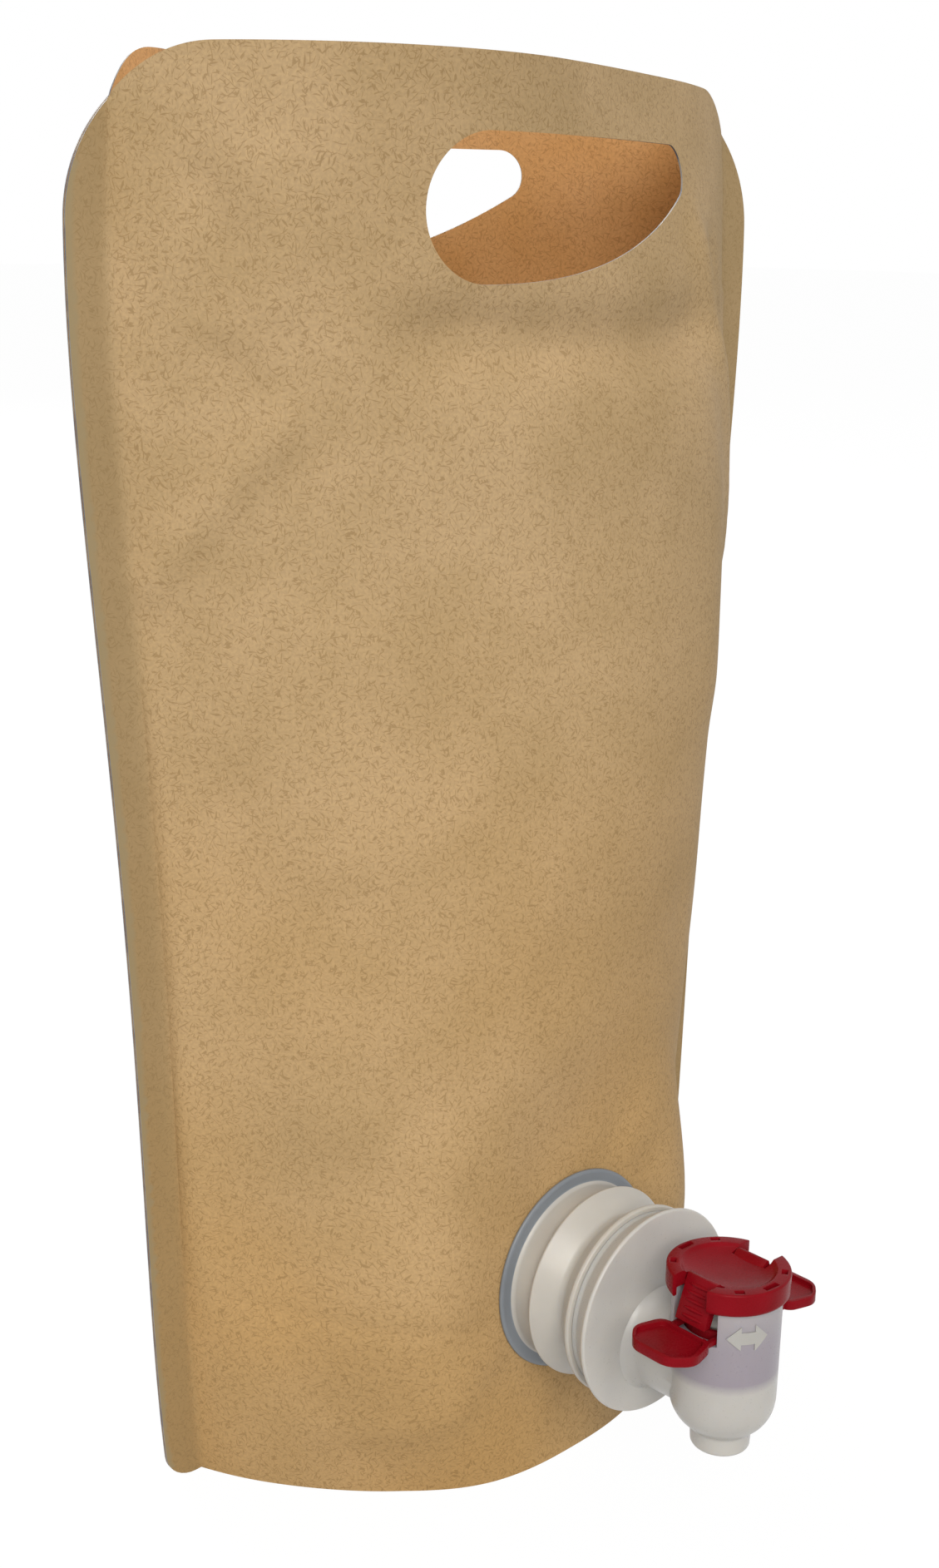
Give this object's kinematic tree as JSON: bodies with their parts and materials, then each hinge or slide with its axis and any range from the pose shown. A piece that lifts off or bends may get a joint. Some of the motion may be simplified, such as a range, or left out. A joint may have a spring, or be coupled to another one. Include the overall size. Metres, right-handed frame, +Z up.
{
  "type": "stand-up pouch with tap",
  "caption": "Kraft stand-up pouch with an open mouth, a carrying hole, a gusseted base and a press tap with a red cap and winged trigger low on its front.",
  "frame": {"origin": "under the middle of the whole object, on the surface that the pouch stands on", "axes": "+X to the right seen from the front, +Y from the front to the back, +Z up; the tap points towards -Y"},
  "size_m": [0.215, 0.1818, 0.3501],
  "materials": {
    "kraft_film": "matte",
    "translucent_plastic": "satin",
    "red_plastic": "satin",
    "soft_seal": "matte"
  },
  "bodies": {
    "pouch": {"front_panel": "kraft_film", "back_panel": "kraft_film", "bottom_gusset": "kraft_film", "spout_gland": "translucent_plastic", "tap_body": "translucent_plastic", "tap_cap": "red_plastic", "return_bellows": "soft_seal"},
    "press_trigger": {"trigger": "red_plastic", "valve_seal": "soft_seal", "plunger_ring": "soft_seal"}
  },
  "joints": [
    {"name": "trigger_lift", "type": "slide", "parent": "pouch", "child": "press_trigger", "axis": [0.0645, 0.0644, 0.9958], "range_m": [0, 0.004], "stiffness_N_per_m": 250, "deforming": ["return_bellows"]}
  ]
}
